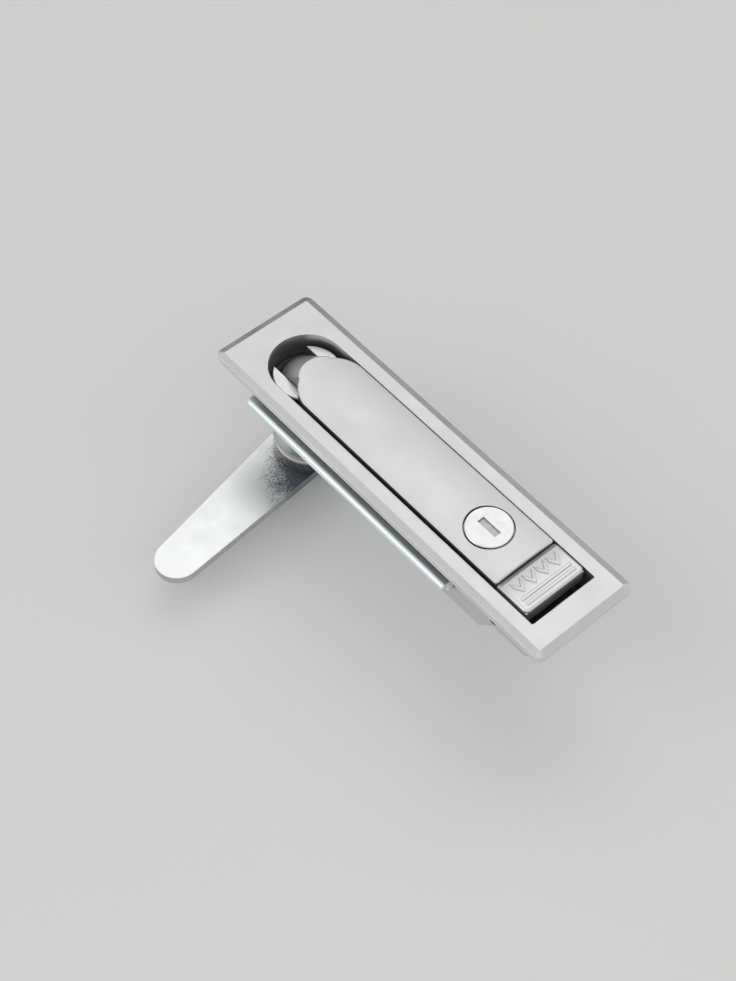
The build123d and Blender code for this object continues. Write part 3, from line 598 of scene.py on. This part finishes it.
def dress_bare():
    """Machined, sprung and rubber parts."""
    dress(["lock_barrel"], bare_metal("cylinder_zinc", (0.40, 0.40, 0.41)))
    dress(["dust_shutter"], bare_metal("shutter_steel", (0.60, 0.60, 0.60), roughness=0.42))
    dress(["key_wafers"], bare_metal("wafer_brass", (0.72, 0.55, 0.26)))
    dress(["neck_ring"], bare_metal("ring_nickel", (0.70, 0.69, 0.63), roughness=0.34, metallic=0.45))
    dress(["spindle", "hinge_pin"], bare_metal("spindle_steel", (0.52, 0.52, 0.53)))
    dress(["button_pin"], bare_metal("pin_steel", (0.13, 0.13, 0.135), roughness=0.45))
    dress(["hinge_spring", "button_spring", "barrel_clip"], bare_metal("spring_steel", (0.42, 0.42, 0.44)))
    dress(["spindle_seal"], rubber("seal_rubber"))


# --- pieces -----------------------------------------------------------------------------


def mesh_piece(name, body, wearer, build):
    """New piece from a function that fills a bmesh, riding on a body in a node's material."""
    shape = bmesh.new()
    build(shape)
    bmesh.ops.recalc_face_normals(shape, faces=shape.faces)
    mesh = bpy.data.meshes.new(name)
    shape.to_mesh(mesh)
    shape.free()
    mesh.materials.append(NODES[wearer].material_slots[0].material)
    piece = bpy.data.objects.new(name, mesh)
    bpy.context.scene.collection.objects.link(piece)
    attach(piece, body)


def drawn_in(points, amount):
    """Closed anticlockwise outline moved inwards by an amount, with mitred corners."""
    moved = []
    count = len(points)
    for i, here in enumerate(points):
        before = (here - points[i - 1]).normalized()
        after = (points[(i + 1) % count] - here).normalized()
        first, second = Vector((-before.y, before.x)), Vector((-after.y, after.x))
        mitre = (first + second) / (1 + first.dot(second))
        moved.append(here + mitre * amount)
    return moved


def raised_outline(shape, points, levels):
    """Closed raised form: the outline stacked through (height, amount drawn in) levels."""
    rings = []
    for height, amount in levels:
        rings.append([shape.verts.new((p.x, p.y, height)) for p in drawn_in(points, amount)])
    count = len(points)
    for lower, upper in zip(rings, rings[1:]):
        for i in range(count):
            j = (i + 1) % count
            shape.faces.new((lower[i], lower[j], upper[j], upper[i]))
    shape.faces.new(rings[-1])
    shape.faces.new(list(reversed(rings[0])))


CHEVRONS = 4
CHEVRON_TALL = 5.0 * MM
CHEVRON_WIDE = 3.7 * MM
CHEVRON_STROKE = 1.15 * MM
STROKE_UPRIGHT = 1.9                # a slanting stroke's upright thickness, in stroke widths
CHEVRON_PITCH = 4.75 * MM
CHEVRON_MIDDLE = 8.05 * MM
CHEVRON_RISE = 0.42 * MM
CHEVRON_ROOT = 0.10 * MM
CHEVRON_LEVELS = ((0.55, 0.03), (0.88, 0.12), (1.0, 0.26))    # share of the rise, millimetres drawn in
BAR_RISE = 0.45 * MM


def chevrons():
    """Row of plain raised chevrons on the button's pad, pointing at the end to press."""
    low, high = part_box("push_button")
    pad = high.z - BAR_RISE
    up = low.y + CHEVRON_MIDDLE + CHEVRON_TALL / 2
    down = up - CHEVRON_TALL
    half = CHEVRON_WIDE / 2
    thick = CHEVRON_STROKE * STROKE_UPRIGHT
    levels = [(pad - CHEVRON_ROOT, 0.0)]
    levels += [(pad + share * CHEVRON_RISE, amount * MM) for share, amount in CHEVRON_LEVELS]

    def build(shape):
        for i in range(CHEVRONS):
            x = (i - (CHEVRONS - 1) / 2) * CHEVRON_PITCH
            corners = (
                (x, down), (x + half, up - thick), (x + half, up),
                (x, down + thick), (x - half, up), (x - half, up - thick),
            )
            raised_outline(shape, [Vector(corner) for corner in corners], levels)

    mesh_piece("button_chevrons", "button", "push_button", build)


THREAD_PITCH = 1.25 * MM
THREAD_ROOT = 3.95 * MM
THREAD_CREST = 4.14 * MM
THREAD_PROFILE = ((0, -0.42), (1, -0.06), (1, 0.06), (0, 0.42))    # share of the depth, of the pitch
THREAD_STEPS = 48                   # steps per turn
THREAD_RUN_IN = 12                  # steps over which the thread rises from nothing
STUD_TIP = 0.55 * MM                # plain tip below the thread
NUT_OVERLAP = 0.6 * MM


def stud_thread():
    """Helical thread on the spindle's stud where it stands out of the nut."""
    axis = JOINT_AT["spindle_turn"]
    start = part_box("spindle")[0].z + STUD_TIP
    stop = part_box("cam_nut")[0].z + NUT_OVERLAP
    count = int((stop - start) / THREAD_PITCH * THREAD_STEPS)

    def section(shape, i):
        """The thread's profile at one step, standing across the helix."""
        turn = 2 * math.pi * i / THREAD_STEPS
        z = start + THREAD_PITCH * i / THREAD_STEPS
        depth = (THREAD_CREST - THREAD_ROOT) * min(1.0, i / THREAD_RUN_IN)
        verts = []
        for share, lift in THREAD_PROFILE:
            radius = THREAD_ROOT + depth * share
            verts.append(shape.verts.new((
                axis.x + radius * math.cos(turn),
                axis.y + radius * math.sin(turn),
                z + lift * THREAD_PITCH,
            )))
        return verts

    def build(shape):
        rows = [section(shape, i) for i in range(count + 1)]
        sides = len(THREAD_PROFILE)
        for a, b in zip(rows, rows[1:]):
            for k in range(sides):
                after = (k + 1) % sides
                shape.faces.new((a[k], b[k], b[after], a[after]))
        shape.faces.new(rows[0])
        shape.faces.new(list(reversed(rows[-1])))

    mesh_piece("stud_thread", "spindle", "spindle", build)


make_camera()
make_world()
make_floor()
make_key_lamp()
dress_lacquered()
dress_plated()
dress_bare()
chevrons()
stud_thread()

bpy.context.scene.view_settings.view_transform = "Standard"
